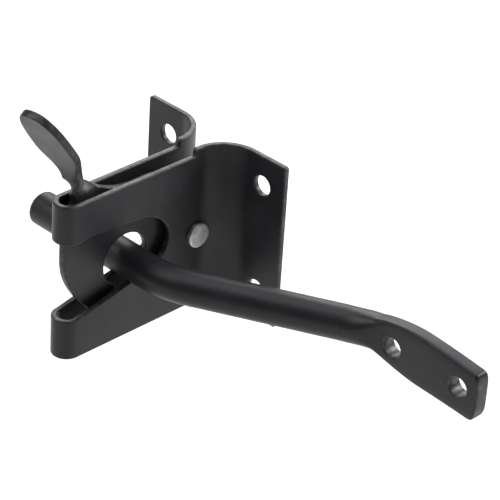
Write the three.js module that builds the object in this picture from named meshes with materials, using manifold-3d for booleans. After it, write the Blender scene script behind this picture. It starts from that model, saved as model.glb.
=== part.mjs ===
// Self-locking gate latch: a folded strap case, a falling pawl on one rivet, and a cranked strike bar.
// Millimetres. +X runs along the strike bar towards the gate, +Y into the post, +Z up.
// The origin is on the face that lies against the post, midway between the two screw flanges.
import * as THREE from 'three';
import { mergeVertices } from 'three/addons/utils/BufferGeometryUtils.js';
import Module from 'manifold-3d';

const wasm = await Module();
wasm.setup();

const QUARTER_TURN = Math.PI / 2;
const HALF_TURN = Math.PI;

// Clearance between pieces that touch, and how far cutters run past what they cut.
const GAP = 0.3;
const OVERRUN = 10;

// Case: one strap, folded round the nose and bent out to a flange on each side.
const STRAP = 2.2;
const CASE_HALF_WIDTH = 5.5;
const SLOT_HALF = CASE_HALF_WIDTH - STRAP;
const NOSE_Y = -69.7;
const BEND_RADIUS = 14.6;
const FLANGE_HALF_SPAN = 34.2;
const FLANGE_HALF_HEIGHT = 32.5;
const FLANGE_CORNER = 1.2;
const WALL_TOP = 29.8;
const WALL_BOTTOM = -30.6;
const STEP_SETBACK = 1.9;
const SCREW_X = 23.7;
const SCREW_Z = 21.2;
const SCREW_RADIUS = 3.7;

// Mouth: the funnel through both walls and the nose. The bar rides on its rising lower edge.
const MOUTH_LIP_TOP = 14.9;
const MOUTH_WALL_TOP = 15.8;
const MOUTH_LIP_REACH = 6;
const RAMP_FRONT = -15.2;
const RAMP_ANGLE = 0.218;
const MOUTH_REAR_RADIUS = 9.4;
const MOUTH_REAR_Z = 2.4;
const MOUTH_REAR_TOP_ANGLE = 0.66;
const MOUTH_REAR_BOTTOM_ANGLE = -1.05;
const MOUTH_REAR_Y = NOSE_Y + 32.3;
const MOUTH_RAMP_END = NOSE_Y + 28;
const MOUTH_WALL_END = NOSE_Y + 30;
const MOUTH_WALL_END_Z = 14.1;
const MOUTH_BLEND = 3;

// Strike bar: round, cranked back towards the post, then hammered flat for two screws.
const BAR_RADIUS = 6.3;
const BAR_Y = -43.77;
const BAR_START_X = -44.26;
const BAR_BEND_X = 21.04;
const CRANK_RUN = 63.4;
const CRANK_SET = 32.6;
const CRANK_ROUNDING = 9;
const BAR_DOME = 1.4;
const TAB_LENGTH = 50.5;
const TAB_HALF_HEIGHT = 9.75;
const TAB_HALF_THICKNESS = 2.8;
const TAB_FLATTENING = 12;
const TAB_FLARE_START = 5;
const TAB_FLARE_LENGTH = 21;
const TAB_FLARE_SHAPE = 1.7;
const TAB_END_NARROWING = 0.7;
const TAB_DROOP = 2.75;
const TAB_LIFT = 1.15;
const TAB_LIFT_START = -6;
const TAB_LIFT_END = 7;
const TAB_TOP_CORNER = 2.2;
const TAB_BOTTOM_CORNER = 3.8;
const TAB_END_SHAPE = 3.2;
const TAB_END_RINGS = [0.75, 0.5, 0.3, 0.15, 0.07];
const TAB_END_CAP = 0.03;
const TAB_EDGE = 1.1;
const TAB_FLATNESS = 3;
const BAR_SIDES = 28;
const TAB_SCREWS = [
  { along: 13.6, rise: -0.04 },
  { along: 42.3, rise: -0.42 },
];

// Pivot: one rivet through both walls, set back behind the mouth.
const PIVOT_Y = -15.1;
const PIVOT_Z = -1.9;
const RIVET_RADIUS = 3;
const RIVET_HEAD_RADIUS = 3.95;
const RIVET_HEAD_HEIGHT = 1.7;
const RIVET_HEAD_EASE = 0.6;

// Pawl: a flat plate with a pocket over the bar, a cam front edge and a twisted thumb lever.
const PAWL_HALF = 1.4;
const HUB_RADIUS = 9;
const POCKET_RADIUS = 9.9;
const POCKET_REACH = 25.2;
const POCKET_Z = -2.4;
const POCKET_TOE_ANGLE = 1.31 * Math.PI;
const LEVER_BASE_REACH = 3.2;
const LEVER_BASE_Z = 29.4;
const LEVER_ROOT = 3;
const LEVER_LENGTH = 43.7;
const LEVER_LEAN_START = 0.122;
const LEVER_LEAN_END = 0.584;
const LEVER_LEAN_BEGIN = 1.7;
const LEVER_LEAN_LENGTH = 17;
const LEVER_TWIST = 1.71;
const LEVER_TWIST_LENGTH = 8.2;
const NECK_HALF_WIDTH = 3.3;
const PADDLE_HALF_WIDTH = 8.7;
const LEVER_OFFSET = -0.4;
const PADDLE_START = 7;
const PADDLE_FULL = 23.7;
const PADDLE_TIP_LENGTH = 17.8;
const PADDLE_ROUNDNESS = 2.5;
const LEVER_STEPS = 45;
const LEVER_EASE = 0.35;

const coatColour = new THREE.Color(0.035, 0.036, 0.04);
const zincColour = new THREE.Color(0.5, 0.5, 0.49);

/** Height of the mouth's lower edge at a given y. */
function rampZ(y) {
  return RAMP_FRONT + Math.tan(RAMP_ANGLE) * (y - NOSE_Y);
}

/** A closed three.js geometry as a manifold solid. */
function solid(geometry) {
  const bare = geometry.clone();
  bare.deleteAttribute('normal');
  bare.deleteAttribute('uv');
  const merged = mergeVertices(bare, 1e-4);
  const vertProperties = new Float32Array(merged.attributes.position.array);
  const triVerts = new Uint32Array(merged.index.array);
  return new wasm.Manifold(new wasm.Mesh({ numProp: 3, vertProperties, triVerts }));
}

/** A manifold solid as a three.js geometry. */
function geometryOf(body) {
  const mesh = body.getMesh();
  const geometry = new THREE.BufferGeometry();
  geometry.setAttribute('position', new THREE.Float32BufferAttribute(mesh.vertProperties, 3));
  geometry.setIndex(new THREE.Uint32BufferAttribute(mesh.triVerts, 1));
  geometry.computeVertexNormals();
  return geometry;
}

/** Extrudes a shape drawn in (y, z) along X, from one x value to another. */
function alongX(shape, fromX, toX) {
  const geometry = new THREE.ExtrudeGeometry(shape, {
    depth: toX - fromX,
    bevelEnabled: false,
    curveSegments: 14,
  });
  const axes = new THREE.Matrix4().makeBasis(
    new THREE.Vector3(0, 1, 0),
    new THREE.Vector3(0, 0, 1),
    new THREE.Vector3(1, 0, 0),
  );
  return geometry.applyMatrix4(axes).translate(fromX, 0, 0);
}

/** A rod along X, for the pivot holes. */
function rodAlongX(radius, halfLength, y, z) {
  return new THREE.CylinderGeometry(radius, radius, 2 * halfLength, 36).rotateZ(QUARTER_TURN).translate(0, y, z);
}

/** A rod along Y, for screw holes. */
function rodAlongY(radius, halfLength, x, y, z) {
  return new THREE.CylinderGeometry(radius, radius, 2 * halfLength, 28).translate(x, y, z);
}

/** Joins rings of points, all of one length, into a closed body with flat ends. */
function loft(rings) {
  const sides = rings[0].length;
  const positions = [];
  rings.forEach((ring) => ring.forEach((point) => positions.push(point.x, point.y, point.z)));
  const triangles = [];
  for (let ring = 0; ring + 1 < rings.length; ring += 1) {
    for (let side = 0; side < sides; side += 1) {
      const a = ring * sides + side;
      const b = ring * sides + ((side + 1) % sides);
      triangles.push(a, b, b + sides, a, b + sides, a + sides);
    }
  }
  const last = (rings.length - 1) * sides;
  for (let side = 1; side + 1 < sides; side += 1) {
    triangles.push(0, side + 1, side);
    triangles.push(last, last + side, last + side + 1);
  }
  const geometry = new THREE.BufferGeometry();
  geometry.setAttribute('position', new THREE.Float32BufferAttribute(positions, 3));
  geometry.setIndex(triangles);
  return geometry;
}

/** Plan outline of the folded strap, drawn in (x, y). */
function strapPlan() {
  const bendX = SLOT_HALF + BEND_RADIUS;
  const innerBend = BEND_RADIUS - STRAP;
  const plan = new THREE.Shape();
  plan.moveTo(-FLANGE_HALF_SPAN, -STRAP);
  plan.lineTo(-bendX, -STRAP);
  plan.absarc(-bendX, -BEND_RADIUS, innerBend, QUARTER_TURN, 0, true);
  plan.lineTo(-CASE_HALF_WIDTH, NOSE_Y);
  plan.absarc(0, NOSE_Y, CASE_HALF_WIDTH, HALF_TURN, 2 * HALF_TURN, false);
  plan.lineTo(CASE_HALF_WIDTH, -BEND_RADIUS);
  plan.absarc(bendX, -BEND_RADIUS, innerBend, HALF_TURN, QUARTER_TURN, true);
  plan.lineTo(FLANGE_HALF_SPAN, -STRAP);
  plan.lineTo(FLANGE_HALF_SPAN, 0);
  plan.lineTo(bendX, 0);
  plan.absarc(bendX, -BEND_RADIUS, BEND_RADIUS, QUARTER_TURN, HALF_TURN, false);
  plan.lineTo(SLOT_HALF, NOSE_Y);
  plan.absarc(0, NOSE_Y, SLOT_HALF, 2 * HALF_TURN, HALF_TURN, true);
  plan.lineTo(-SLOT_HALF, -BEND_RADIUS);
  plan.absarc(-bendX, -BEND_RADIUS, BEND_RADIUS, 0, QUARTER_TURN, false);
  plan.lineTo(-FLANGE_HALF_SPAN, 0);
  plan.closePath();
  return plan;
}

/** Front outline of the flanges with rounded corners, drawn in (x, z). */
function flangeOutline() {
  const w = FLANGE_HALF_SPAN - FLANGE_CORNER;
  const h = FLANGE_HALF_HEIGHT - FLANGE_CORNER;
  const outline = new THREE.Shape();
  outline.absarc(w, h, FLANGE_CORNER, 0, QUARTER_TURN, false);
  outline.absarc(-w, h, FLANGE_CORNER, QUARTER_TURN, HALF_TURN, false);
  outline.absarc(-w, -h, FLANGE_CORNER, HALF_TURN, HALF_TURN + QUARTER_TURN, false);
  outline.absarc(w, -h, FLANGE_CORNER, HALF_TURN + QUARTER_TURN, 2 * HALF_TURN, false);
  outline.closePath();
  return outline;
}

/** Side outline of the mouth, drawn in (y, z), open past the nose. */
function mouthOutline() {
  const frontY = NOSE_Y - CASE_HALF_WIDTH - OVERRUN;
  const radius = MOUTH_REAR_RADIUS;
  const arcPoint = (angle) => [
    MOUTH_REAR_Y + radius * Math.cos(angle),
    MOUTH_REAR_Z + radius * Math.sin(angle),
  ];
  const [lowY, lowZ] = arcPoint(MOUTH_REAR_BOTTOM_ANGLE);
  const [highY, highZ] = arcPoint(MOUTH_REAR_TOP_ANGLE);
  const lowTurn = [Math.sin(MOUTH_REAR_BOTTOM_ANGLE), -Math.cos(MOUTH_REAR_BOTTOM_ANGLE)];
  const highTurn = [-Math.sin(MOUTH_REAR_TOP_ANGLE), Math.cos(MOUTH_REAR_TOP_ANGLE)];
  const mouth = new THREE.Shape();
  mouth.moveTo(frontY, MOUTH_LIP_TOP);
  mouth.lineTo(frontY, RAMP_FRONT);
  mouth.lineTo(NOSE_Y, RAMP_FRONT);
  mouth.lineTo(MOUTH_RAMP_END, rampZ(MOUTH_RAMP_END));
  mouth.bezierCurveTo(
    MOUTH_RAMP_END + MOUTH_BLEND, rampZ(MOUTH_RAMP_END + MOUTH_BLEND),
    lowY + MOUTH_BLEND * lowTurn[0], lowZ + MOUTH_BLEND * lowTurn[1],
    lowY, lowZ,
  );
  mouth.absarc(MOUTH_REAR_Y, MOUTH_REAR_Z, radius, MOUTH_REAR_BOTTOM_ANGLE, MOUTH_REAR_TOP_ANGLE, false);
  mouth.bezierCurveTo(
    highY + MOUTH_BLEND * highTurn[0], highZ + MOUTH_BLEND * highTurn[1],
    MOUTH_WALL_END + MOUTH_BLEND, MOUTH_WALL_END_Z - MOUTH_BLEND / 10,
    MOUTH_WALL_END, MOUTH_WALL_END_Z,
  );
  mouth.lineTo(NOSE_Y + MOUTH_LIP_REACH, MOUTH_WALL_TOP);
  mouth.lineTo(NOSE_Y, MOUTH_LIP_TOP);
  mouth.closePath();
  return mouth;
}

/** The folded strap with its mouth, screw holes, pivot holes and stepped top and bottom edges. */
function makeCase() {
  const tall = new THREE.ExtrudeGeometry(strapPlan(), {
    depth: 2 * FLANGE_HALF_HEIGHT,
    bevelEnabled: false,
    curveSegments: 18,
  });
  const depth = -NOSE_Y + 2 * OVERRUN;
  const outline = new THREE.ExtrudeGeometry(flangeOutline(), { depth, bevelEnabled: false, curveSegments: 8 });
  outline.rotateX(QUARTER_TURN).translate(0, OVERRUN, 0);
  let body = solid(tall.translate(0, 0, -FLANGE_HALF_HEIGHT)).intersect(solid(outline));
  body = body.subtract(solid(alongX(mouthOutline(), -OVERRUN, OVERRUN)));
  body = body.subtract(solid(rodAlongX(RIVET_RADIUS + GAP, OVERRUN, PIVOT_Y, PIVOT_Z)));

  const stepY = -BEND_RADIUS - STEP_SETBACK;
  const wallLength = stepY - NOSE_Y + CASE_HALF_WIDTH + OVERRUN;
  for (const end of [-1, 1]) {
    const trim = new THREE.BoxGeometry(2 * CASE_HALF_WIDTH + 2 * OVERRUN, wallLength, OVERRUN);
    const edge = end > 0 ? WALL_TOP : WALL_BOTTOM;
    trim.translate(0, stepY - wallLength / 2, edge + (end * OVERRUN) / 2);
    body = body.subtract(solid(trim));
    for (const side of [-1, 1]) {
      body = body.subtract(solid(rodAlongY(SCREW_RADIUS, OVERRUN, side * SCREW_X, 0, end * SCREW_Z)));
    }
  }
  return geometryOf(body);
}

/** Side outline of the flat pawl plate, drawn in (y, z). */
function pawlOutline() {
  const y = (reach) => NOSE_Y + reach;
  const plate = new THREE.Shape();
  plate.moveTo(y(1.4), 32.4);
  plate.bezierCurveTo(y(2.1), 31.2, y(2.35), 30.5, y(2.35), 29.3);
  plate.bezierCurveTo(y(2.4), 27.9, y(1.2), 27.3, y(-0.3), 26.9);
  plate.bezierCurveTo(y(-1.9), 26.5, y(-2.65), 25.8, y(-2.65), 24.4);
  plate.lineTo(y(-2.65), 17);
  plate.bezierCurveTo(y(-2.65), 15, y(-3), 14.5, y(-3), 12.5);
  plate.lineTo(y(-3), 7);
  plate.bezierCurveTo(y(-3), -1.5, y(1.5), -8.5, y(9.5), -17.2);
  plate.bezierCurveTo(y(11), -18.9, y(12.2), -19.6, y(14), -19.6);
  plate.bezierCurveTo(y(17.5), -19.6, y(20.2), -16.5, y(20.9), -13.2);
  plate.absarc(y(POCKET_REACH), POCKET_Z, POCKET_RADIUS, POCKET_TOE_ANGLE, 0, true);
  plate.lineTo(y(36.4), -9);
  plate.bezierCurveTo(y(36.7), -10.6, y(37.8), -11.4, y(39.8), -11.2);
  plate.absarc(PIVOT_Y, PIVOT_Z, HUB_RADIUS, -QUARTER_TURN, QUARTER_TURN / 2, false);
  plate.bezierCurveTo(y(50.7), 19.2, y(42.5), 26.6, y(36), 26.6);
  plate.lineTo(y(27), 26.6);
  plate.bezierCurveTo(y(16), 27.5, y(9.5), 29.5, y(6.6), 33.2);
  plate.closePath();
  return plate;
}

/** Half width of the thumb lever at a distance above its base. */
function leverHalfWidth(distance) {
  const spread = THREE.MathUtils.smoothstep(distance, PADDLE_START, PADDLE_FULL);
  const full = THREE.MathUtils.lerp(NECK_HALF_WIDTH, PADDLE_HALF_WIDTH, spread);
  const fromTip = 1 - Math.min(1, (LEVER_LENGTH - distance) / PADDLE_TIP_LENGTH);
  return full * (1 - fromTip ** PADDLE_ROUNDNESS) ** (1 / PADDLE_ROUNDNESS);
}

/** Cross-sections of the thumb lever, from inside the plate to the rounded tip. */
function leverRings() {
  const stepLength = (LEVER_LENGTH + LEVER_ROOT) / LEVER_STEPS;
  const centre = new THREE.Vector3(0, NOSE_Y + LEVER_BASE_REACH, LEVER_BASE_Z);
  const tangentAt = (distance) => {
    const bend = THREE.MathUtils.smoothstep(distance, LEVER_LEAN_BEGIN, LEVER_LEAN_BEGIN + LEVER_LEAN_LENGTH);
    const lean = THREE.MathUtils.lerp(LEVER_LEAN_START, LEVER_LEAN_END, bend);
    return new THREE.Vector3(0, -Math.sin(lean), Math.cos(lean));
  };
  centre.addScaledVector(tangentAt(0), -LEVER_ROOT);
  const rings = [];
  for (let step = 0; step <= LEVER_STEPS; step += 1) {
    const distance = step * stepLength - LEVER_ROOT;
    const tangent = tangentAt(distance);
    const turn = LEVER_TWIST * THREE.MathUtils.smoothstep(distance, 0, LEVER_TWIST_LENGTH);
    const across = new THREE.Vector3(Math.sin(turn), -Math.cos(turn), 0);
    const face = new THREE.Vector3().crossVectors(tangent, across).normalize();
    across.crossVectors(face, tangent).normalize();
    const half = Math.max(leverHalfWidth(distance), 4 * LEVER_EASE);
    const corners = [
      [half, PAWL_HALF - LEVER_EASE],
      [half - LEVER_EASE, PAWL_HALF],
      [LEVER_EASE - half, PAWL_HALF],
      [-half, PAWL_HALF - LEVER_EASE],
      [-half, LEVER_EASE - PAWL_HALF],
      [LEVER_EASE - half, -PAWL_HALF],
      [half - LEVER_EASE, -PAWL_HALF],
      [half, LEVER_EASE - PAWL_HALF],
    ];
    const spine = centre.clone().addScaledVector(across, LEVER_OFFSET);
    rings.push(corners.map(([w, t]) => spine.clone().addScaledVector(across, w).addScaledVector(face, t)));
    centre.addScaledVector(tangentAt(distance + stepLength / 2), stepLength);
  }
  return rings;
}

/** The pawl: plate and lever in one, with the pivot hole. */
function makePawl() {
  const plate = solid(alongX(pawlOutline(), -PAWL_HALF, PAWL_HALF));
  const pivotHole = solid(rodAlongX(RIVET_RADIUS + GAP, OVERRUN, PIVOT_Y, PIVOT_Z));
  return geometryOf(plate.add(solid(loft(leverRings()))).subtract(pivotHole));
}

/** The rivet: a straight shank between two low heads, turned about X. */
function makeRivet() {
  const seat = CASE_HALF_WIDTH + GAP;
  const top = seat + RIVET_HEAD_HEIGHT;
  const half = [
    new THREE.Vector2(RIVET_RADIUS, seat),
    new THREE.Vector2(RIVET_HEAD_RADIUS - RIVET_HEAD_EASE, seat),
    new THREE.Vector2(RIVET_HEAD_RADIUS, seat + RIVET_HEAD_EASE),
    new THREE.Vector2(RIVET_HEAD_RADIUS, top - RIVET_HEAD_EASE),
    new THREE.Vector2(RIVET_HEAD_RADIUS - RIVET_HEAD_EASE, top),
    new THREE.Vector2(0, top),
  ];
  const mirrored = half.map((point) => new THREE.Vector2(point.x, -point.y)).reverse();
  const turned = new THREE.LatheGeometry([...mirrored, ...half], 36).rotateZ(QUARTER_TURN);
  return turned.translate(0, PIVOT_Y, PIVOT_Z);
}

/** Centre line of the strike bar: straight, cranked back, straight again. */
function barPath() {
  const z = rampZ(BAR_Y) + BAR_RADIUS / Math.cos(RAMP_ANGLE) + GAP;
  const corners = [
    new THREE.Vector3(BAR_START_X, BAR_Y, z),
    new THREE.Vector3(BAR_BEND_X, BAR_Y, z),
    new THREE.Vector3(BAR_BEND_X + CRANK_RUN, BAR_Y + CRANK_SET, z),
    new THREE.Vector3(BAR_BEND_X + CRANK_RUN + TAB_LENGTH, BAR_Y + CRANK_SET, z),
  ];
  const path = new THREE.CurvePath();
  let from = corners[0];
  for (let corner = 1; corner < 3; corner += 1) {
    const back = corners[corner - 1].clone().sub(corners[corner]).setLength(CRANK_ROUNDING);
    const ahead = corners[corner + 1].clone().sub(corners[corner]).setLength(CRANK_ROUNDING);
    const enter = corners[corner].clone().add(back);
    const leave = corners[corner].clone().add(ahead);
    path.add(new THREE.LineCurve3(from, enter));
    path.add(new THREE.QuadraticBezierCurve3(enter, corners[corner], leave));
    from = leave;
  }
  path.add(new THREE.LineCurve3(from, corners[3]));
  return path;
}

/** One cross-section of the bar: a rounded rectangle, which is a circle where all three sizes agree. */
function barRing(centre, tangent, halfThickness, halfHeight, edge) {
  const side = new THREE.Vector3(-tangent.y, tangent.x, 0);
  const ring = [];
  for (let step = 0; step < BAR_SIDES; step += 1) {
    const angle = (2 * Math.PI * (step + 0.5)) / BAR_SIDES;
    const flatSide = THREE.MathUtils.clamp(TAB_FLATNESS * Math.cos(angle), -1, 1);
    const flatUp = THREE.MathUtils.clamp(TAB_FLATNESS * Math.sin(angle), -1, 1);
    const reach = (halfThickness - edge) * flatSide + edge * Math.cos(angle);
    const point = centre.clone().addScaledVector(side, reach);
    point.z += (halfHeight - edge) * flatUp + edge * Math.sin(angle);
    ring.push(point);
  }
  return ring;
}

/** Distances along the bar that need a cross-section: close together only where its shape changes. */
function barStations(length) {
  const tabStart = length - TAB_LENGTH;
  const crankEnd = tabStart - Math.hypot(CRANK_RUN, CRANK_SET);
  const stations = [];
  const spread = (from, to, steps) => {
    for (let step = 0; step <= steps; step += 1) {
      stations.push(THREE.MathUtils.lerp(from, to, step / steps));
    }
  };
  spread(BAR_DOME, crankEnd - CRANK_ROUNDING, 1);
  spread(crankEnd - CRANK_ROUNDING + 2, crankEnd + CRANK_ROUNDING, 8);
  spread(tabStart - CRANK_ROUNDING, tabStart + TAB_FLATTENING, 14);
  spread(tabStart + TAB_FLATTENING + 2, length - TAB_BOTTOM_CORNER, 9);
  return stations;
}

/** How far a rounded corner of the tab has grown: 0 at the very end, 1 where it is complete. */
function cornerGrowth(fromEnd, depth) {
  const left = 1 - Math.min(1, fromEnd / depth);
  return (1 - left ** TAB_END_SHAPE) ** (1 / TAB_END_SHAPE);
}

/** The strike bar with its domed end, crank and two-hole tab. */
function makeStrikeBar() {
  const path = barPath();
  const length = path.getLength();
  const tabStart = length - TAB_LENGTH;
  const rings = [];
  const addRing = (distance, ease) => {
    const intoTab = distance - tabStart;
    const flat = THREE.MathUtils.smoothstep(intoTab, -3, TAB_FLATTENING);
    const flare = THREE.MathUtils.clamp((intoTab - TAB_FLARE_START) / TAB_FLARE_LENGTH, 0, 1);
    const tail = THREE.MathUtils.clamp(intoTab / TAB_LENGTH, 0, 1) ** 2;
    const thickness = THREE.MathUtils.lerp(BAR_RADIUS, TAB_HALF_THICKNESS, flat);
    const swell = (TAB_HALF_HEIGHT - BAR_RADIUS) * (1 - (1 - flare) ** TAB_FLARE_SHAPE);
    const height = BAR_RADIUS + swell - TAB_END_NARROWING * tail;
    const above = height * cornerGrowth(length - distance, TAB_TOP_CORNER);
    const below = height * cornerGrowth(length - distance, TAB_BOTTOM_CORNER);
    const edge = THREE.MathUtils.lerp(BAR_RADIUS, TAB_EDGE, flat);
    const lift = TAB_LIFT * THREE.MathUtils.smoothstep(intoTab, TAB_LIFT_START, TAB_LIFT_END);
    const centre = path.getPointAt(distance / length);
    centre.z += lift - TAB_DROOP * tail + (above - below) / 2;
    const tangent = path.getTangentAt(distance / length);
    const halfHeight = (above + below) / 2 - ease;
    rings.push(barRing(centre, tangent, thickness - ease, halfHeight, Math.max(edge - ease, edge / 4)));
  };
  for (let step = 0; step < 4; step += 1) {
    const turn = (QUARTER_TURN * step) / 4;
    addRing(BAR_DOME * (1 - Math.cos(turn)), BAR_DOME * (1 - Math.sin(turn)));
  }
  barStations(length).forEach((distance) => addRing(distance, 0));
  for (const share of TAB_END_RINGS) {
    addRing(length - TAB_BOTTOM_CORNER * share, 0);
  }
  addRing(length - TAB_END_CAP, TAB_EDGE / 2);
  let body = solid(loft(rings));
  const tabEnd = path.getPointAt(1);
  for (const screw of TAB_SCREWS) {
    const holeX = BAR_BEND_X + CRANK_RUN + screw.along;
    const drill = rodAlongY(SCREW_RADIUS, OVERRUN, holeX, tabEnd.y, tabEnd.z + screw.rise);
    body = body.subtract(solid(drill));
  }
  return geometryOf(body);
}

/** Satin black coating; the rivet is left as bare zinc-plated steel. */
function metal(colour, roughness, metalness) {
  return new THREE.MeshStandardMaterial({ color: colour, roughness, metalness });
}

/** A named mesh of the assembly. */
function piece(name, geometry, material) {
  const mesh = new THREE.Mesh(geometry, material);
  mesh.name = name;
  return mesh;
}

const latch = new THREE.Group();
latch.add(piece('latch_case', makeCase(), metal(coatColour, 0.4, 0.3)));
latch.add(piece('pivot_rivet', makeRivet(), metal(zincColour, 0.45, 0.9)));
latch.add(piece('latch_pawl', makePawl(), metal(coatColour, 0.4, 0.3)));
latch.add(piece('strike_bar', makeStrikeBar(), metal(coatColour, 0.38, 0.3)));

export default latch;
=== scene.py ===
"""Self-locking gate latch in satin black steel: folded case, falling pawl, rivet and cranked strike bar.

Outlines are drawn in millimetres and turned into metres when a mesh is made.
"""

import math

import bpy
import numpy as np
from mathutils import Matrix, Vector
from mathutils.geometry import delaunay_2d_cdt


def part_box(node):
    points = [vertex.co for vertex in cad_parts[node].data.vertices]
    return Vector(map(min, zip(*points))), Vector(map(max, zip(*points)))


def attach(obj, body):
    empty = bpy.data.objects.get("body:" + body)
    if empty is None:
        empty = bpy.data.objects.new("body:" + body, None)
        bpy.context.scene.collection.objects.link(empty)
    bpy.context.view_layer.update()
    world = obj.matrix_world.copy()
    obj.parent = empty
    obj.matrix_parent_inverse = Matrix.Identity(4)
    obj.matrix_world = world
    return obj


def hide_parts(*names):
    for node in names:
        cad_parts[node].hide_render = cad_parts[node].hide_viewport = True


MM = 0.001
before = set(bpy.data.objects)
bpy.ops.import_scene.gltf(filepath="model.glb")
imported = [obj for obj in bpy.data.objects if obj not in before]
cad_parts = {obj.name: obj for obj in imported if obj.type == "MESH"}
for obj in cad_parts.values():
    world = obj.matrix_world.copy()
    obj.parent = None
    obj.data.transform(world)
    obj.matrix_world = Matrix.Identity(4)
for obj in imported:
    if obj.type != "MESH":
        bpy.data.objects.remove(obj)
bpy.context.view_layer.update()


def corners_mm(node):
    """Lowest and highest corner of a CAD node, in millimetres."""
    low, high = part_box(node)
    return np.array(low) / MM, np.array(high) / MM


case_low, case_high = corners_mm("latch_case")
bar_low, bar_high = corners_mm("strike_bar")
rivet_low, rivet_high = corners_mm("pivot_rivet")

# Case: a strap folded round the nose, with a flange bent out at each rear end.
STRAP = 2.2
CASE_HALF_WIDTH = 5.5
BEND_RADIUS = 14.6
FLANGE_CORNER = 1.2
STEP_SETBACK = 1.9
WALL_TOP = 29.8
WALL_BOTTOM = -30.6
SCREW_X = 23.7
SCREW_Z = 21.2
SCREW_RADIUS = 3.7
NOSE_Y = case_low[1] + CASE_HALF_WIDTH
FLANGE_HALF_SPAN = case_high[0]
FLANGE_HALF_HEIGHT = case_high[2] - 0.01
STEP_SHOULDER = 0.6

# Mouth of the case.
MOUTH_LIP_TOP = 14.9
MOUTH_WALL_TOP = 15.8
MOUTH_LIP_REACH = 6.0
RAMP_FRONT = -15.2
RAMP_ANGLE = 0.218
MOUTH_RAMP_END = 28.0
MOUTH_WALL_END = 30.0
MOUTH_WALL_END_Z = 14.1
MOUTH_BLEND = 3.0
MOUTH_REAR_RADIUS = 9.4
MOUTH_REAR_REACH = 32.3
MOUTH_REAR_Z = 2.4
MOUTH_REAR_TOP_ANGLE = 0.66
MOUTH_REAR_BOTTOM_ANGLE = -1.05

# Pivot rivet. Its heads spread wider than the CAD's and sit a little nearer to the flanges.
PIVOT_Y, PIVOT_Z = (rivet_low[1:] + rivet_high[1:]) / 2
RIVET_HEAD_RADIUS = (rivet_high[2] - rivet_low[2]) / 2
RIVET_SHANK_RADIUS = 3.0
PIVOT_CLEARANCE = 0.15
RIVET_TOP = rivet_high[0]
HEAD_SPREAD = 0.7
HEAD_SET = 0.35
HEAD_EASE = 0.55
HEAD_CROWN = 0.12

# Pawl plate.
PAWL_THICKNESS = 2.8
HUB_RADIUS = 9.0
POCKET_RADIUS = 9.9
POCKET_REACH = 25.2
POCKET_Z = -2.4
POCKET_TOE_ANGLE = 1.31 * math.pi

# Thumb lever.
LEVER_BASE = np.array([NOSE_Y + 3.2, 29.4])
LEVER_LENGTH = 43.7
LEVER_LEAN_START = 0.122
LEVER_LEAN_END = 0.584
LEVER_LEAN_BEGIN = 1.7
LEVER_LEAN_LENGTH = 17.0
LEVER_TWIST = 1.71
LEVER_TWIST_LENGTH = 8.2
NECK_HALF_WIDTH = 3.9
PADDLE_HALF_WIDTH = 8.7
LEVER_OFFSET = -0.4
PADDLE_START = 8.5
PADDLE_FULL = 23.7
PADDLE_TIP = 17.8
PADDLE_ROUNDNESS = 2.5

# Strike bar.
BAR_RADIUS = 6.3
BAR_Y = -43.77
BAR_BEND_X = 21.04
CRANK_RUN = 63.4
CRANK_SET = 32.6
CRANK_ROUNDING = 9.0
BAR_DOME = 1.4
TAB_HALF_HEIGHT = 9.75
TAB_HALF_THICKNESS = 2.8
TAB_FLATTENING = 12.0
TAB_FLARE_START = 5.0
TAB_FLARE_LENGTH = 21.0
TAB_FLARE_SHAPE = 1.7
TAB_END_NARROWING = 0.7
TAB_DROOP = 2.75
TAB_LIFT = 1.15
TAB_LIFT_START = -6.0
TAB_LIFT_END = 7.0
TAB_TOP_CORNER = 2.2
TAB_BOTTOM_CORNER = 3.8
TAB_END_SHAPE = 3.2
TAB_EDGE = 1.1
TAB_FLATNESS = 3.0
TAB_SCREWS = ((13.6, -0.04), (42.3, -0.42))
BAR_START_X = bar_low[0]
BAR_Z = RAMP_FRONT + math.tan(RAMP_ANGLE) * (BAR_Y - NOSE_Y) + BAR_RADIUS / math.cos(RAMP_ANGLE) + 0.3

# Rounding of cut edges, how far in the first row of face vertices lies, and rounding of the tab's end.
EDGE_RADIUS = 0.5
EDGE_STEPS = 5
EDGE_SUPPORT = 0.28
END_EASE = 0.55

# Rims of the bar's screw holes, and how strongly their walls take the paler cut-edge colour, on the scale
# of the cut_edge attribute.
HOLE_RIM = 0.45
HOLE_WALL_PALENESS = 2.2


# ---------------------------------------------------------------- outlines

class Outline:
    """A closed outline in millimetres, drawn piece by piece with the material on its left."""

    def __init__(self, x, y):
        self.points = [(x, y)]

    def line(self, x, y, step=0.9):
        start = np.array(self.points[-1])
        end = np.array((x, y))
        count = max(1, round(float(np.linalg.norm(end - start)) / step))
        for k in range(1, count + 1):
            self.points.append(tuple(start + (end - start) * k / count))
        return self

    def arc(self, cx, cy, radius, start, end, step=0.4):
        count = max(3, round(abs(end - start) * radius / step))
        for k in range(count + 1):
            angle = start + (end - start) * k / count
            self.points.append((cx + radius * math.cos(angle), cy + radius * math.sin(angle)))
        return self

    def curve(self, control_a, control_b, end, step=0.5):
        a, b, c, d = (np.array(p, float) for p in (self.points[-1], control_a, control_b, end))
        length = sum(float(np.linalg.norm(q - p)) for p, q in ((a, b), (b, c), (c, d)))
        count = max(3, round(length / step))
        for k in range(1, count + 1):
            t = k / count
            u = 1 - t
            self.points.append(tuple(u**3 * a + 3 * u * u * t * b + 3 * u * t * t * c + t**3 * d))
        return self

    def closed(self):
        return without_repeats(self.points)


def without_repeats(points, least=0.05):
    """The points as an array, without those that repeat the one before."""
    kept = [np.array(points[0], float)]
    for point in points[1:]:
        if np.linalg.norm(np.array(point) - kept[-1]) > least:
            kept.append(np.array(point, float))
    if np.linalg.norm(kept[0] - kept[-1]) <= least:
        kept.pop()
    return np.array(kept)


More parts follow.
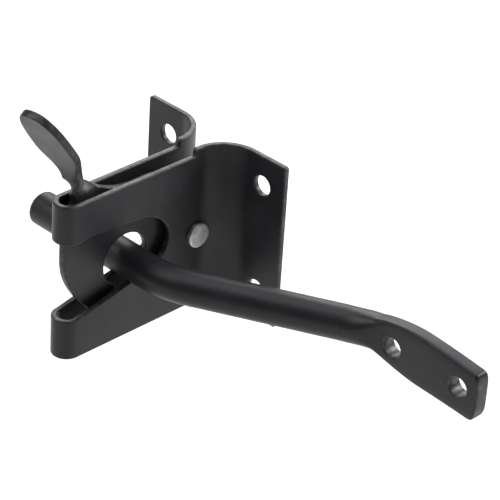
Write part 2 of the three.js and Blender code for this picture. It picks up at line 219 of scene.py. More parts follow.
def circle(cx, cy, radius, step=0.45):
    """A round hole, drawn clockwise so that the material is on its left."""
    count = max(24, round(2 * math.pi * radius / step))
    angles = -2 * math.pi * np.arange(count) / count
    return np.stack([cx + radius * np.cos(angles), cy + radius * np.sin(angles)], axis=1)


def left_normals(loop):
    """Unit normals that point to the left of a closed loop, towards the material."""
    ahead = np.roll(loop, -1, axis=0) - loop
    behind = loop - np.roll(loop, 1, axis=0)
    ahead /= np.linalg.norm(ahead, axis=1, keepdims=True)
    behind /= np.linalg.norm(behind, axis=1, keepdims=True)
    tangent = ahead + behind
    tangent /= np.linalg.norm(tangent, axis=1, keepdims=True)
    return np.stack([-tangent[:, 1], tangent[:, 0]], axis=1)


def inside(loops, points):
    """Which points lie in the material, by counting crossings of every loop."""
    result = np.zeros(len(points), bool)
    x, y = points[:, 0], points[:, 1]
    for loop in loops:
        nxt = np.roll(loop, -1, axis=0)
        for (x0, y0), (x1, y1) in zip(loop, nxt):
            if y0 == y1:
                continue
            crosses = ((y0 > y) != (y1 > y)) & (x < (x1 - x0) * (y - y0) / (y1 - y0) + x0)
            result ^= crosses
    return result


def smoothstep(value, low, high):
    t = min(1.0, max(0.0, (value - low) / (high - low)))
    return t * t * (3 - 2 * t)


# ---------------------------------------------------------------- mesh building

def make_object(name, vertices_mm, faces, edge_weights=None):
    """A smooth-shaded mesh object. edge_weights says how near each vertex is to a cut edge."""
    mesh = bpy.data.meshes.new(name)
    mesh.from_pydata([Vector(v) * MM for v in vertices_mm], [], faces)
    mesh.polygons.foreach_set("use_smooth", [True] * len(mesh.polygons))
    if edge_weights is not None:
        attribute = mesh.attributes.new("cut_edge", "FLOAT", "POINT")
        attribute.data.foreach_set("value", np.asarray(edge_weights, np.float32))
    mesh.validate()
    mesh.update()
    obj = bpy.data.objects.new(name, mesh)
    bpy.context.scene.collection.objects.link(obj)
    return obj


def edge_profile(thickness):
    """Inset and height of each row of vertices round a cut edge, from the top face to the bottom face."""
    half = thickness / 2
    rows = [(EDGE_RADIUS + EDGE_SUPPORT, half)]
    for k in range(EDGE_STEPS + 1):
        angle = math.pi / 2 * k / EDGE_STEPS
        rows.append((EDGE_RADIUS * (1 - math.sin(angle)), half - EDGE_RADIUS * (1 - math.cos(angle))))
    return rows + [(inset, -height) for inset, height in reversed(rows)]


def sheet(name, loops, thickness, fold, grid):
    """A sheet-metal piece: flat outlines with rounded edges, carried into space by fold(point, height)."""
    rows = edge_profile(thickness)
    weights = []
    vertices = []
    faces = []
    rims = []
    for loop in loops:
        normals = left_normals(loop)
        count = len(loop)
        starts = []
        for inset, height in rows:
            starts.append(len(vertices))
            for point, normal in zip(loop, normals):
                vertices.append(fold(point + normal * inset, height))
                weights.append(max(0.0, 1 - inset / (EDGE_RADIUS + EDGE_SUPPORT)))
        for top, bottom in zip(starts, starts[1:]):
            for k in range(count):
                after = (k + 1) % count
                faces.append((top + k, bottom + k, bottom + after, top + after))
        rims.append((loop + normals * rows[0][0], starts[0], starts[-1]))

    rim_points = np.concatenate([rim for rim, _, _ in rims])
    top_index = np.concatenate([start + np.arange(len(rim)) for rim, start, _ in rims])
    bottom_index = np.concatenate([start + np.arange(len(rim)) for rim, _, start in rims])
    constraints = []
    offset = 0
    for rim, _, _ in rims:
        constraints += [(offset + k, offset + (k + 1) % len(rim)) for k in range(len(rim))]
        offset += len(rim)
    rim_loops = [rim for rim, _, _ in rims]
    free = grid[inside(rim_loops, grid)]
    gaps = np.array([np.min(np.hypot(*(rim_points - p).T)) for p in free])
    free = free[gaps > 0.45]
    top_index = np.concatenate([top_index, len(vertices) + np.arange(len(free))])
    for point in free:
        vertices.append(fold(point, thickness / 2))
        weights.append(0.0)
    bottom_index = np.concatenate([bottom_index, len(vertices) + np.arange(len(free))])
    for point in free:
        vertices.append(fold(point, -thickness / 2))
        weights.append(0.0)

    flat = np.concatenate([rim_points, free])
    result = delaunay_2d_cdt([Vector(p) for p in flat], constraints, [], 0, 1e-6)
    places = np.array([tuple(v) for v in result[0]])
    sources = [source[0] for source in result[3]]
    triangles = np.array([list(face) for face in result[2]])
    centres = places[triangles].mean(axis=1)
    for triangle in triangles[inside(rim_loops, centres)]:
        a, b, c = (sources[k] for k in triangle)
        pa, pb, pc = flat[a], flat[b], flat[c]
        if (pb[0] - pa[0]) * (pc[1] - pa[1]) - (pb[1] - pa[1]) * (pc[0] - pa[0]) < 0:
            b, c = c, b
        faces.append((top_index[a], top_index[b], top_index[c]))
        faces.append((bottom_index[a], bottom_index[c], bottom_index[b]))
    return make_object(name, vertices, [tuple(int(i) for i in face) for face in faces], weights)


def lattice(columns, row_step, low, high):
    """Grid points on the given columns, between two heights."""
    rows = np.arange(low, high + row_step / 2, row_step)
    return np.array([(x, y) for x in columns for y in rows])


def loft(name, rings, edge_weights=None):
    """A closed body through rings of points, with a middle vertex in each end."""
    sides = len(rings[0])
    vertices = [point for ring in rings for point in ring]
    faces = []
    for k in range(len(rings) - 1):
        for side in range(sides):
            a = k * sides + side
            b = k * sides + (side + 1) % sides
            faces.append((a, b, b + sides, a + sides))
    first = len(vertices)
    vertices.append(np.mean(rings[0], axis=0))
    vertices.append(np.mean(rings[-1], axis=0))
    last_ring = (len(rings) - 1) * sides
    for side in range(sides):
        after = (side + 1) % sides
        faces.append((first, after, side))
        faces.append((first + 1, last_ring + side, last_ring + after))
    weights = None
    if edge_weights is not None:
        weights = list(np.repeat(edge_weights, sides)) + [edge_weights[0], edge_weights[-1]]
    return make_object(name, vertices, faces, weights)


# ---------------------------------------------------------------- latch case

MID_NOSE_RADIUS = CASE_HALF_WIDTH - STRAP / 2
MID_BEND_RADIUS = BEND_RADIUS - STRAP / 2
NOSE_ARC = MID_NOSE_RADIUS * math.pi / 2
WALL_LENGTH = -BEND_RADIUS - NOSE_Y
BEND_START = NOSE_ARC + WALL_LENGTH
BEND_ARC = MID_BEND_RADIUS * math.pi / 2
FLANGE_START = BEND_START + BEND_ARC
FLANGE_X = CASE_HALF_WIDTH - STRAP + BEND_RADIUS
STRAP_END = FLANGE_START + FLANGE_HALF_SPAN - FLANGE_X


def fold_strap(point, height):
    """Carries a point of the flat strap into the folded case. The first number runs along the strap."""
    along, z = point
    side = 1 if along >= 0 else -1
    distance = abs(along)
    if distance <= NOSE_ARC:
        angle = distance / MID_NOSE_RADIUS
        radius = MID_NOSE_RADIUS + height
        return side * radius * math.sin(angle), NOSE_Y - radius * math.cos(angle), z
    if distance <= BEND_START:
        return side * (MID_NOSE_RADIUS + height), NOSE_Y + distance - NOSE_ARC, z
    if distance <= FLANGE_START:
        angle = (distance - BEND_START) / MID_BEND_RADIUS
        radius = MID_BEND_RADIUS - height
        return side * (FLANGE_X - radius * math.cos(angle)), -BEND_RADIUS + radius * math.sin(angle), z
    return side * (FLANGE_X + distance - FLANGE_START), -STRAP / 2 - height, z


def strap_reach(along):
    """How far back from the nose's centre a point of the strap's middle surface lies."""
    distance = abs(along)
    if distance <= NOSE_ARC:
        return -MID_NOSE_RADIUS * math.cos(distance / MID_NOSE_RADIUS)
    return distance - NOSE_ARC


def strap_outline():
    """The blank's outer edge: low walls, rounded steps and tall flanges, on both sides, top and bottom."""
    upper = strap_half_edge(WALL_TOP)
    lower = strap_half_edge(-WALL_BOTTOM)
    quarters = [upper, upper[::-1] * (-1, 1), lower * (-1, -1), lower[::-1] * (1, -1)]
    return without_repeats(np.concatenate(quarters))


def strap_half_edge(wall_height):
    """A quarter of the blank's edge, from the middle of the flange's end to the middle of the nose."""
    r = FLANGE_CORNER
    top = FLANGE_HALF_HEIGHT
    step_x = BEND_START - STEP_SETBACK
    quarter = Outline(STRAP_END, 0)
    quarter.line(STRAP_END, top - r, 2.0)
    quarter.arc(STRAP_END - r, top - r, r, 0, math.pi / 2, 0.25)
    quarter.line(step_x + r, top, 0.7)
    quarter.arc(step_x + r, top - r, r, math.pi / 2, math.pi, 0.25)
    quarter.curve((step_x, wall_height), (step_x, wall_height), (step_x - STEP_SHOULDER, wall_height), 0.25)
    quarter.line(NOSE_ARC, wall_height, 0.9)
    quarter.line(0, wall_height, 0.5)
    return np.array(quarter.points)


def ramp_height(reach):
    return RAMP_FRONT + math.tan(RAMP_ANGLE) * max(0.0, reach)


def mouth_outline():
    """The mouth on the flat strap, drawn clockwise round its edge and across the nose."""
    reaches = (0.0, MOUTH_LIP_REACH, MOUTH_WALL_END)
    heights = (MOUTH_LIP_TOP, MOUTH_WALL_TOP, MOUTH_WALL_END_Z)
    nose = np.arange(0, NOSE_ARC, 0.5)
    top_end = NOSE_ARC + MOUTH_WALL_END
    bottom_end = NOSE_ARC + MOUTH_RAMP_END
    top = np.concatenate([nose, np.arange(NOSE_ARC, top_end, 0.8)])
    bottom = np.concatenate([nose, np.arange(NOSE_ARC, bottom_end, 0.8)])
    centre = (NOSE_ARC + MOUTH_REAR_REACH, MOUTH_REAR_Z)
    high, high_turn = arc_point(centre, MOUTH_REAR_RADIUS, MOUTH_REAR_TOP_ANGLE)
    low, low_turn = arc_point(centre, MOUTH_REAR_RADIUS, MOUTH_REAR_BOTTOM_ANGLE)
    rear = Outline(top_end, MOUTH_WALL_END_Z)
    leave = (top_end + MOUTH_BLEND, MOUTH_WALL_END_Z - MOUTH_BLEND / 10)
    rear.curve(leave, high + high_turn * MOUTH_BLEND, tuple(high))
    rear.arc(*centre, MOUTH_REAR_RADIUS, MOUTH_REAR_TOP_ANGLE, MOUTH_REAR_BOTTOM_ANGLE)
    enter = (bottom_end + MOUTH_BLEND, ramp_height(MOUTH_RAMP_END + MOUTH_BLEND))
    rear.curve(low - low_turn * MOUTH_BLEND, enter, (bottom_end, ramp_height(MOUTH_RAMP_END)))
    right = [(s, np.interp(strap_reach(s), reaches, heights)) for s in top]
    right += rear.points
    right += [(s, ramp_height(strap_reach(s))) for s in bottom[::-1]]
    left = [(-s, z) for s, z in right]
    return without_repeats(np.array(right + left[::-1]))


def arc_point(centre, radius, angle):
    """A point on an arc, and the direction of increasing angle there."""
    spoke = np.array([math.cos(angle), math.sin(angle)])
    return np.array(centre) + radius * spoke, np.array([-spoke[1], spoke[0]])


def make_case():
    loops = [strap_outline(), mouth_outline()]
    screw_along = FLANGE_START + SCREW_X - FLANGE_X
    pivot_along = NOSE_ARC + PIVOT_Y - NOSE_Y
    for side in (-1, 1):
        loops.append(circle(side * pivot_along, PIVOT_Z, RIVET_SHANK_RADIUS + PIVOT_CLEARANCE))
        for z in (-SCREW_Z, SCREW_Z):
            loops.append(circle(side * screw_along, z, SCREW_RADIUS))
    nose = np.arange(-NOSE_ARC, NOSE_ARC + 0.1, NOSE_ARC / 14)
    wall = np.linspace(NOSE_ARC, BEND_START, 14)
    bend = np.linspace(BEND_START, FLANGE_START, 34)
    flange = np.linspace(FLANGE_START, STRAP_END, 6)
    columns = np.unique(np.round(np.concatenate([nose, wall, bend, flange, -wall, -bend, -flange]), 4))
    grid = lattice(columns, 2.2, -FLANGE_HALF_HEIGHT + 1.1, FLANGE_HALF_HEIGHT)
    return sheet("case_shell", loops, STRAP, fold_strap, grid)


# ---------------------------------------------------------------- pawl

def lever_spine():
    """Centre line and turn of the thumb lever: place, tangent and width direction at even distances."""
    steps = 360
    step = LEVER_LENGTH / steps
    place = np.array([0.0, *LEVER_BASE])
    stations = []
    for k in range(steps + 1):
        distance = k * step
        bend = smoothstep(distance, LEVER_LEAN_BEGIN, LEVER_LEAN_BEGIN + LEVER_LEAN_LENGTH)
        lean = LEVER_LEAN_START + (LEVER_LEAN_END - LEVER_LEAN_START) * bend
        tangent = np.array([0.0, -math.sin(lean), math.cos(lean)])
        turn = LEVER_TWIST * smoothstep(distance, 0, LEVER_TWIST_LENGTH)
        across = np.array([math.sin(turn), -math.cos(turn), 0.0])
        face = np.cross(tangent, across)
        face /= np.linalg.norm(face)
        across = np.cross(face, tangent)
        stations.append((place.copy(), tangent, across, face))
        place += tangent * step
    return stations, step


SPINE, SPINE_STEP = lever_spine()
BASE_TANGENT = SPINE[0][1][1:]
BASE_ACROSS = SPINE[0][2][1:]


def fold_pawl(point, height):
    """Carries a point of the flat pawl into space: the plate stays flat and the lever leans and twists."""
    away = np.asarray(point) - LEVER_BASE
    distance = float(away @ BASE_TANGENT)
    if distance <= 0:
        return height, point[0], point[1]
    sideways = float(away @ BASE_ACROSS)
    index = min(distance / SPINE_STEP, len(SPINE) - 1.001)
    low = int(index)
    mix = index - low
    place, _, across, face = (a * (1 - mix) + b * mix for a, b in zip(SPINE[low], SPINE[low + 1]))
    return tuple(place + across * sideways + face * height)


def lever_point(distance, sideways):
    """Flat coordinates of a point on the lever."""
    return tuple(LEVER_BASE + BASE_TANGENT * distance + BASE_ACROSS * sideways)


def lever_edge(distance, side):
    """A point on the lever's edge: side is 1 for the edge that starts in front, -1 for the other."""
    return lever_point(distance, side * lever_half_width(distance) + LEVER_OFFSET)


def lever_half_width(distance):
    spread = smoothstep(distance, PADDLE_START, PADDLE_FULL)
    full = NECK_HALF_WIDTH + (PADDLE_HALF_WIDTH - NECK_HALF_WIDTH) * spread
    from_tip = 1 - min(1.0, (LEVER_LENGTH - distance) / PADDLE_TIP)
    return full * (1 - from_tip ** PADDLE_ROUNDNESS) ** (1 / PADDLE_ROUNDNESS)


def pawl_outline():
    """The flat pawl, anticlockwise from the neck's rear edge: lever, front, cam, pocket, hub, top."""
    y = NOSE_Y
    sides = np.arange(5.0, LEVER_LENGTH - PADDLE_TIP, 0.8)
    tip = [LEVER_LENGTH - PADDLE_TIP * (1 - math.sin(a)) for a in np.linspace(0, math.pi / 2, 40)]
    rear = [lever_edge(s, -1) for s in [*sides[sides > 7], *tip[:-1]]]
    front = [lever_edge(s, 1) for s in [*sides, *tip][::-1]]
    outline = Outline(*rear[0])
    outline.points += rear[1:] + front
    outline.curve((y - 0.6, 32.4), (y + 1.2, 31.4), (y + 1.2, 29.3))
    outline.curve((y + 1.2, 27.9), (y + 0.8, 27.2), (y - 0.3, 26.9))
    outline.curve((y - 1.9, 26.5), (y - 2.65, 25.8), (y - 2.65, 24.4))
    outline.line(y - 2.65, 17)
    outline.curve((y - 2.65, 15), (y - 3, 14.5), (y - 3, 12.5))
    outline.line(y - 3, 7)
    outline.curve((y - 3, -1.5), (y + 1.5, -8.5), (y + 9.5, -17.2))
    outline.curve((y + 11, -18.9), (y + 12.2, -19.6), (y + 14, -19.6))
    outline.curve((y + 17.5, -19.6), (y + 20.2, -16.5), (y + 20.9, -13.2))
    toe = POCKET_TOE_ANGLE
    pocket = (y + POCKET_REACH, POCKET_Z)
    start, turn = arc_point(pocket, POCKET_RADIUS, toe)
    outline.curve((y + 21.15, -12), start + turn * 1.2, tuple(start), 0.25)
    outline.arc(*pocket, POCKET_RADIUS, toe, 0)
    outline.line(y + 36.3, -9)
    outline.curve((y + 36.7, -10.8), (y + 37.8, -11.4), (y + 39.8, -11.2))
    outline.line(PIVOT_Y, PIVOT_Z - HUB_RADIUS)
    outline.arc(PIVOT_Y, PIVOT_Z, HUB_RADIUS, -math.pi / 2, math.pi / 4)
    outline.curve((y + 50.7, 19.2), (y + 42.5, 26.6), (y + 36, 26.6))
    outline.line(y + 27, 26.6)
    outline.curve((y + 16, 27.5), (y + 7.6, 33.4), rear[0])
    return outline.closed()


def make_pawl():
    loops = [pawl_outline(), circle(PIVOT_Y, PIVOT_Z, RIVET_SHANK_RADIUS + PIVOT_CLEARANCE)]
    plate_columns = np.arange(NOSE_Y - 2, PIVOT_Y + HUB_RADIUS, 3.0)
    plate = lattice(plate_columns, 3.0, -20, 28)
    lever = []
    for distance in np.arange(0.3, LEVER_LENGTH, 0.8):
        for side in np.linspace(-0.92, 0.92, 9):
            lever.append(lever_edge(distance, side))
    return sheet("pawl_plate", loops, PAWL_THICKNESS, fold_pawl, np.concatenate([plate, lever]))


# ---------------------------------------------------------------- rivet

def make_rivet():
    """A rivet turned about X, its two heads slightly crowned and not quite even."""
    seat = CASE_HALF_WIDTH
    radius = RIVET_HEAD_RADIUS + HEAD_SPREAD
    flat_radius = radius - HEAD_EASE
    under = seat + 0.02
    shoulder = RIVET_TOP - HEAD_EASE - HEAD_CROWN
    profile = [(RIVET_SHANK_RADIUS, seat - 0.4), (RIVET_SHANK_RADIUS, under), (radius - 0.15, under)]
    for k in range(7):
        angle = math.pi / 2 * k / 6
        profile.append((flat_radius + HEAD_EASE * math.cos(angle), shoulder + HEAD_EASE * math.sin(angle)))
    for k in range(1, 8):
        inward = 1 - k / 8
        profile.append((flat_radius * inward, RIVET_TOP - HEAD_CROWN * inward**2))
    full = [(r, -x) for r, x in reversed(profile)] + profile
    sides = 64
    rings = []
    for r, x in full:
        ring = []
        for k in range(sides):
            angle = 2 * math.pi * k / sides
            uneven = 1 + 0.006 * math.sin(3 * angle + 1) + 0.004 * math.sin(7 * angle)
            reach = r * (uneven if abs(x) > seat else 1)
            middle = PIVOT_Y + (HEAD_SET if abs(x) > seat else 0)
            ring.append((x, middle + reach * math.cos(angle), PIVOT_Z + reach * math.sin(angle)))
        rings.append(ring)
    return loft("rivet_body", rings)


# ---------------------------------------------------------------- strike bar

def bar_path():
    """Evenly spaced points along the bar's centre line, and its tangent at each."""
    end_x = bar_high[0]
    corners = [np.array(c, float) for c in (
        (BAR_START_X, BAR_Y),
        (BAR_BEND_X, BAR_Y),
        (BAR_BEND_X + CRANK_RUN, BAR_Y + CRANK_SET),
        (end_x, BAR_Y + CRANK_SET),
    )]
    dense = [corners[0]]
    for before, corner, after in zip(corners, corners[1:], corners[2:]):
        enter = corner + (before - corner) / np.linalg.norm(before - corner) * CRANK_ROUNDING
        leave = corner + (after - corner) / np.linalg.norm(after - corner) * CRANK_ROUNDING
        for t in np.linspace(0, 1, 60):
            dense.append((1 - t) ** 2 * enter + 2 * t * (1 - t) * corner + t * t * leave)
    dense.append(corners[-1])
    dense = np.array(dense)
    lengths = np.concatenate([[0], np.cumsum(np.linalg.norm(np.diff(dense, axis=0), axis=1))])
    return dense, lengths


def clipped(value):
    return min(1.0, max(-1.0, value))


def bar_section(centre, tangent, z, half_thickness, half_height, edge):
    """A cross-section of the bar: a rounded rectangle, which is a circle where all three sizes agree."""
    sides = 64
    side = np.array([-tangent[1], tangent[0]])
    ring = []
    for k in range(sides):
        angle = 2 * math.pi * (k + 0.5) / sides
        out = (half_thickness - edge) * clipped(TAB_FLATNESS * math.cos(angle)) + edge * math.cos(angle)
        up = (half_height - edge) * clipped(TAB_FLATNESS * math.sin(angle)) + edge * math.sin(angle)
        place = centre + side * out
        ring.append((place[0], place[1], z + up))
    return ring


def corner_growth(from_end, depth):
    """How far a rounded corner of the tab has grown: 0 at the very end, 1 where it is complete."""
    left = 1 - min(1.0, from_end / depth)
    return (1 - left ** TAB_END_SHAPE) ** (1 / TAB_END_SHAPE)


def make_bar():
    dense, lengths = bar_path()
    total = lengths[-1]
    tab_length = bar_high[0] - BAR_BEND_X - CRANK_RUN
    tab_start = total - tab_length

    def section(distance, ease):
        into = distance - tab_start
        from_end = total - distance
        flat = smoothstep(into, -3, TAB_FLATTENING)
        flare = min(1.0, max(0.0, (into - TAB_FLARE_START) / TAB_FLARE_LENGTH))
        tail = min(1.0, max(0.0, into / tab_length)) ** 2
        thickness = BAR_RADIUS + (TAB_HALF_THICKNESS - BAR_RADIUS) * flat
        swell = (TAB_HALF_HEIGHT - BAR_RADIUS) * (1 - (1 - flare) ** TAB_FLARE_SHAPE)
        height = BAR_RADIUS + swell - TAB_END_NARROWING * tail
        above = height * corner_growth(from_end, TAB_TOP_CORNER)
        below = height * corner_growth(from_end, TAB_BOTTOM_CORNER)
        edge = BAR_RADIUS + (TAB_EDGE - BAR_RADIUS) * flat
        centre = np.array([np.interp(distance, lengths, dense[:, k]) for k in (0, 1)])
        before = np.array([np.interp(max(0.0, distance - 0.3), lengths, dense[:, k]) for k in (0, 1)])
        after = np.array([np.interp(min(total, distance + 0.3), lengths, dense[:, k]) for k in (0, 1)])
        tangent = (after - before) / np.linalg.norm(after - before)
        lift = TAB_LIFT * smoothstep(into, TAB_LIFT_START, TAB_LIFT_END)
        z = BAR_Z + lift - TAB_DROOP * tail + (above - below) / 2
        half_height = (above + below) / 2 - ease
        return bar_section(centre, tangent, z, thickness - ease, half_height, max(edge - ease, 0.15))

    rings = []
    weights = []

    # Each ring's weight becomes its cut_edge value, which paints the paler edge colour, partly a painted
    # highlight, on the rounded ends.
    def add(distance, ease, weight):
        rings.append(section(distance, ease))
        weights.append(weight)

    for inset in np.linspace(BAR_RADIUS - 0.6, BAR_DOME, 6):
        add(0.25 * (1 - inset / BAR_RADIUS), inset, 0.0)
    for k in range(1, 7):
        angle = math.pi / 2 * k / 6
        add(0.2 + (BAR_DOME - 0.2) * (1 - math.cos(angle)), BAR_DOME * (1 - math.sin(angle)), 0.6)
    crank = tab_start - math.hypot(CRANK_RUN, CRANK_SET)
    flared = tab_start + TAB_FLARE_START + TAB_FLARE_LENGTH
    stations = list(np.arange(BAR_DOME + 1, crank - CRANK_ROUNDING, 4.0))
    stations += list(np.arange(crank - CRANK_ROUNDING, crank + CRANK_ROUNDING, 0.9))
    stations += list(np.arange(crank + CRANK_ROUNDING, tab_start - CRANK_ROUNDING, 4.0))
    stations += list(np.arange(tab_start - CRANK_ROUNDING, flared, 0.8))
    stations += list(np.arange(flared + 0.3, total - TAB_BOTTOM_CORNER - 0.5, 1.2))
    for distance in stations:
        add(distance, 0.0, 0.0)
    for k in range(10):
        add(total - END_EASE - (TAB_BOTTOM_CORNER - END_EASE) * (1 - k / 9) ** 2, 0.0, 0.0)
    for k in range(1, 6):
        angle = math.pi / 2 * k / 5
        add(total - END_EASE * (1 - math.sin(angle)) - 0.02, END_EASE * (1 - math.cos(angle)), 0.7)
    bar = loft("bar_body", rings, weights)
    for along, rise in TAB_SCREWS:
        drill(bar, BAR_BEND_X + CRANK_RUN + along, BAR_Y + CRANK_SET, BAR_Z + rise)
    return bar


def drill(bar, x, y, z):
    """Cuts a screw hole with eased rims through the tab, along Y. Its wall is given the paler cut-edge
    colour.
    """
    rim = HOLE_RIM
    face = TAB_HALF_THICKNESS
    profile = [(SCREW_RADIUS + rim + 0.6, face + 0.55), (SCREW_RADIUS + rim, face)]
    for k in range(1, 6):
        angle = math.pi / 2 * k / 5
        profile.append((SCREW_RADIUS + rim * (1 - math.sin(angle)), face - rim * (1 - math.cos(angle))))
    full = profile + [(r, -d) for r, d in reversed(profile)]
    sides = 56
    rings = []
    for r, d in full:
        angles = [2 * math.pi * k / sides for k in range(sides)]
        rings.append([(x + r * math.cos(a), y + d, z + r * math.sin(a)) for a in angles])
    cutter = loft("cutter", rings)
    cut = bar.modifiers.new("screw_hole", "BOOLEAN")
    cut.operation = "DIFFERENCE"
    cut.solver = "EXACT"
    cut.object = cutter
    apply_modifiers(bar)
    bpy.data.objects.remove(cutter)
    pale_hole_wall(bar, x, z, SCREW_RADIUS + rim / 2)


def pale_hole_wall(bar, x, z, reach):
    """Marks the bar's vertices within reach of an axis along Y to take the paler cut-edge colour strongly.
    """
    marks = bar.data.attributes["cut_edge"].data
    for vertex, mark in zip(bar.data.vertices, marks):
        from_axis = math.hypot(vertex.co.x / MM - x, vertex.co.z / MM - z)
        if from_axis < reach:
            mark.value = HOLE_WALL_PALENESS


def apply_modifiers(obj):
    """Replaces the object's mesh by what its modifiers make of it."""
    evaluated = obj.evaluated_get(bpy.context.evaluated_depsgraph_get())
    mesh = bpy.data.meshes.new_from_object(evaluated)
    obj.modifiers.clear()
    obj.data = mesh


# ---------------------------------------------------------------- materials

BLACK_DEEP = (0.0100, 0.0103, 0.0130)
BLACK_PALE = (0.0165, 0.0168, 0.0195)
# Pale grey for cut edges: partly a thinner coat, partly a painted highlight along the edges.
THIN_COAT_AND_EDGE_HIGHLIGHT = (0.10, 0.10, 0.105)
SPECK = (0.22, 0.22, 0.22)
ZINC_DARK = (0.44, 0.44, 0.43)
ZINC_BRIGHT = (0.72, 0.72, 0.70)
FLOOR_DIM = (0.86, 0.86, 0.86)
FLOOR_PALE = (0.88, 0.88, 0.88)


class Nodes:
    """Short ways to add and join shader nodes."""

    def __init__(self, name):
        self.material = bpy.data.materials.new(name)
        self.material.use_nodes = True
        self.tree = self.material.node_tree
        self.shader = self.tree.nodes["Principled BSDF"]
        self.coordinates = self.add("ShaderNodeTexCoord").outputs["Object"]

    def add(self, kind, **settings):
        node = self.tree.nodes.new(kind)
        for key, value in settings.items():
            setattr(node, key, value)
        return node

    def link(self, source, target):
        self.tree.links.new(source, target)

    def noise(self, scale, detail=3.0, roughness=0.5):
        node = self.add("ShaderNodeTexNoise")
        node.inputs["Scale"].default_value = scale
        node.inputs["Detail"].default_value = detail
        node.inputs["Roughness"].default_value = roughness
        self.link(self.coordinates, node.inputs["Vector"])
        return node.outputs["Fac"]

    def remap(self, source, from_low, from_high, to_low, to_high):
        node = self.add("ShaderNodeMapRange", clamp=True)
        node.inputs["From Min"].default_value = from_low
        node.inputs["From Max"].default_value = from_high
        node.inputs["To Min"].default_value = to_low
        node.inputs["To Max"].default_value = to_high
        self.link(source, node.inputs["Value"])
        return node.outputs["Result"]

    def math(self, operation, a, b):
        node = self.add("ShaderNodeMath", operation=operation)
        for socket, value in zip(node.inputs, (a, b)):
            if isinstance(value, (int, float)):
                socket.default_value = value
            else:
                self.link(value, socket)
        return node.outputs[0]

    def mix(self, factor, a, b):
        node = self.add("ShaderNodeMix", data_type="RGBA")
        self.link(factor, node.inputs[0])
        for socket, value in ((node.inputs[6], a), (node.inputs[7], b)):
            if isinstance(value, tuple):
                socket.default_value = (*value, 1)
            else:
                self.link(value, socket)
        return node.outputs[2]

    def bump(self, height, strength, distance, under=None):
        node = self.add("ShaderNodeBump")
        node.inputs["Strength"].default_value = strength
        node.inputs["Distance"].default_value = distance
        self.link(height, node.inputs["Height"])
        if under is not None:
            self.link(under, node.inputs["Normal"])
        return node.outputs["Normal"]

    def specks(self, scale, size):
        """Sparse small dots: 1 in a dot, 0 elsewhere."""
        node = self.add("ShaderNodeTexVoronoi")
        node.inputs["Scale"].default_value = scale
        self.link(self.coordinates, node.inputs["Vector"])
        return self.remap(node.outputs["Distance"], size, size * 1.6, 1.0, 0.0)


def black_coat(name):
    """Satin black powder coat: faint orange peel, uneven gloss, thinner and paler on cut edges, where the
    paleness is partly a painted highlight along the edges.
    """
    n = Nodes(name)
    broad = n.noise(38.0, 4.0)
    colour = n.mix(n.remap(broad, 0.35, 0.65, 0.0, 1.0), BLACK_DEEP, BLACK_PALE)
    edge = n.add("ShaderNodeAttribute", attribute_name="cut_edge").outputs["Fac"]
    # Cut-edge mask broken up by noise: a thinner, glossier coat there, and a paler colour that is partly a
    # painted highlight.
    thin_coat_and_highlight = n.math("MULTIPLY", edge, n.remap(n.noise(420.0, 5.0, 0.65), 0.45, 0.62, 0.15, 1.0))
    colour = n.mix(n.math("MULTIPLY", thin_coat_and_highlight, 0.55), colour, THIN_COAT_AND_EDGE_HIGHLIGHT)
    dots = n.math("MULTIPLY", n.specks(520.0, 0.11), n.remap(n.noise(70.0, 2.0), 0.5, 0.62, 0.0, 1.0))
    colour = n.mix(n.math("MULTIPLY", dots, 0.16), colour, SPECK)
    n.link(colour, n.shader.inputs["Base Color"])
    gloss = n.remap(n.noise(90.0, 4.0), 0.3, 0.7, 0.36, 0.46)
    n.link(n.math("SUBTRACT", gloss, n.math("MULTIPLY", thin_coat_and_highlight, 0.06)), n.shader.inputs["Roughness"])
    n.shader.inputs["Specular IOR Level"].default_value = 0.32
    peel = n.bump(n.noise(900.0, 2.0), 0.10, 0.0002)
    n.link(n.bump(n.noise(160.0, 3.0), 0.08, 0.0006, peel), n.shader.inputs["Normal"])
    return n.material


def zinc(name):
    """Dull zinc-plated steel: mottled, with hammer and handling marks."""
    n = Nodes(name)
    mottle = n.noise(420.0, 6.0, 0.6)
    colour = n.mix(n.remap(mottle, 0.3, 0.7, 0.0, 1.0), ZINC_DARK, ZINC_BRIGHT)
    n.link(colour, n.shader.inputs["Base Color"])
    n.shader.inputs["Metallic"].default_value = 0.85
    n.link(n.remap(n.noise(600.0, 4.0), 0.3, 0.7, 0.42, 0.62), n.shader.inputs["Roughness"])
    n.link(n.bump(n.noise(700.0, 4.0), 0.25, 0.0003), n.shader.inputs["Normal"])
    return n.material


def dress(obj, body, node, material):
    """Gives a piece its material and ties it to the frame."""
    obj.data.materials.clear()
    obj.data.materials.append(material)
    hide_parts(node)
    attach(obj, body)


# ---------------------------------------------------------------- stage

def make_floor():
    """A wide, flat, pale floor below the object."""
    reach = 3.0
    level = case_low[2] * MM - 0.055
    mesh = bpy.data.meshes.new("floor")
    signs = ((-1, -1), (1, -1), (1, 1), (-1, 1))
    corners = [(across * reach, along * reach, level) for across, along in signs]
    mesh.from_pydata(corners, [], [(0, 1, 2, 3)])
    floor = bpy.data.objects.new("floor", mesh)
    bpy.context.scene.collection.objects.link(floor)
    n = Nodes("pale_floor")
    tone = n.mix(n.remap(n.noise(2.0, 2.0), 0.3, 0.7, 0.0, 1.0), FLOOR_DIM, FLOOR_PALE)
    n.link(tone, n.shader.inputs["Base Color"])
    n.shader.inputs["Roughness"].default_value = 0.9
    n.shader.inputs["Specular IOR Level"].default_value = 0.1
    mesh.materials.append(n.material)


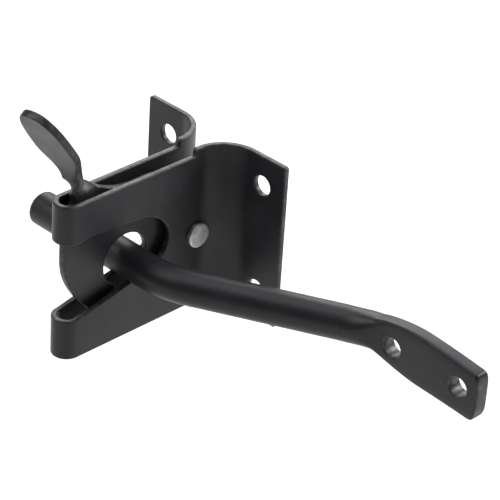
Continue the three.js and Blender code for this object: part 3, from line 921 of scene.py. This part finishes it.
def area_light(name, place, aim, size, power):
    data = bpy.data.lights.new(name, "AREA")
    data.shape = "RECTANGLE"
    data.size, data.size_y = size
    data.energy = power
    lamp = bpy.data.objects.new(name, data)
    lamp.location = place
    lamp.rotation_euler = (Vector(aim) - Vector(place)).to_track_quat("-Z", "Y").to_euler()
    bpy.context.scene.collection.objects.link(lamp)


def make_light():
    bpy.context.scene.view_settings.view_transform = "Standard"
    world = bpy.data.worlds.new("studio")
    world.use_nodes = True
    background = world.node_tree.nodes["Background"]
    background.inputs["Color"].default_value = (0.97, 0.98, 1.0, 1)
    background.inputs["Strength"].default_value = 0.12
    bpy.context.scene.world = world
    aim = (0.03, -0.04, 0.0)
    area_light("overhead", (0.0, 0.0, 1.2), aim, (1.0, 1.0), 6)
    area_light("left_front", (-0.5, -0.7, 1.0), aim, (0.7, 0.7), 5.5)
    area_light("left_back", (-0.75, 0.8, 0.7), aim, (1.0, 0.8), 10.5)
    area_light("right_back", (0.5, 1.0, 0.7), aim, (0.8, 0.6), 19)
    area_light("low_left", (-0.9, -0.9, 0.35), aim, (0.5, 0.5), 0.9)


def make_camera():
    """The photograph's view: from the front right, above, with a slight roll and a long lens."""
    azimuth, elevation, roll = (math.radians(a) for a in (43.36, 31.5, 3.78))
    back = Vector((math.sin(azimuth) * math.cos(elevation), -math.cos(azimuth) * math.cos(elevation),
                   math.sin(elevation)))
    level = Vector((math.cos(azimuth), math.sin(azimuth), 0))
    upright = back.cross(level)
    right = level * math.cos(roll) + upright * math.sin(roll)
    up = upright * math.cos(roll) - level * math.sin(roll)
    aim = Vector((0.05037, -0.035, 0.02093)) + right * 0.00051 - up * 0.000135
    data = bpy.data.cameras.new("camera")
    data.sensor_width = 36
    data.lens = 168.5
    camera = bpy.data.objects.new("camera", data)
    turned = Matrix((right, up, back)).transposed().to_4x4()
    turned.translation = aim + back * 0.7722
    camera.matrix_world = turned
    bpy.context.scene.collection.objects.link(camera)
    bpy.context.scene.camera = camera


make_camera()
make_light()
make_floor()
dress(make_case(), "case", "latch_case", black_coat("case_coat"))
dress(make_rivet(), "case", "pivot_rivet", zinc("rivet_zinc"))
dress(make_pawl(), "pawl", "latch_pawl", black_coat("pawl_coat"))
dress(make_bar(), "bar", "strike_bar", black_coat("bar_coat"))
